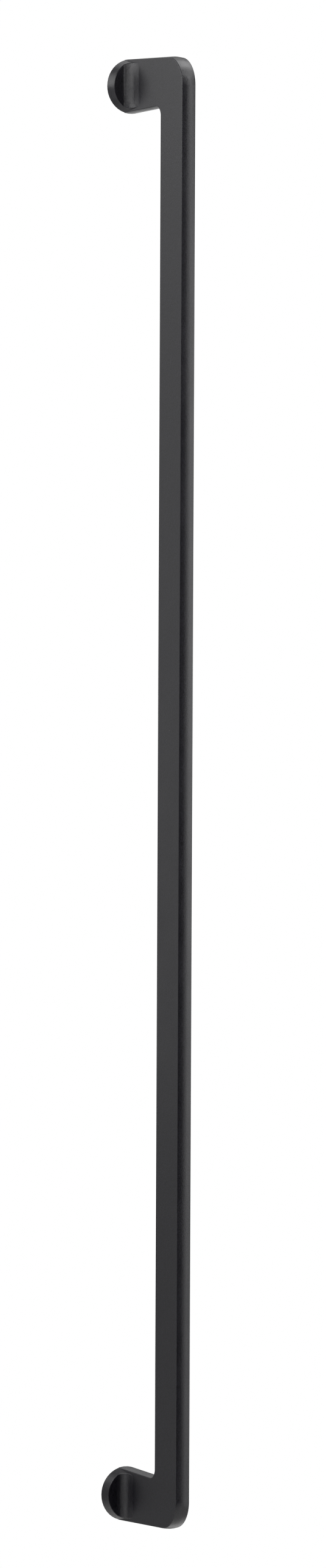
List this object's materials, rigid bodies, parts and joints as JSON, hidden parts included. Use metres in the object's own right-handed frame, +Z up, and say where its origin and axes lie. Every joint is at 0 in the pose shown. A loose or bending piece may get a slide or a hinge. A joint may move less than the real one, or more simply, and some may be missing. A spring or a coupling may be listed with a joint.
{
  "type": "door pull handle",
  "caption": "Long one-piece door pull handle: a flat upright bar on two webs that sweep out into round feet, fixed from behind through the door.",
  "frame": {"origin": "on the door face, midway between the two fixing holes", "axes": "+Z up along the bar, -Y out of the door towards the user, X across the door along its width"},
  "size_m": [0.0384, 0.0847, 1.0386],
  "materials": {
    "powder_coat": "satin, fine-grained powder coat"
  },
  "bodies": {
    "root": {"pull_handle": "powder_coat"}
  },
  "joints": []
}
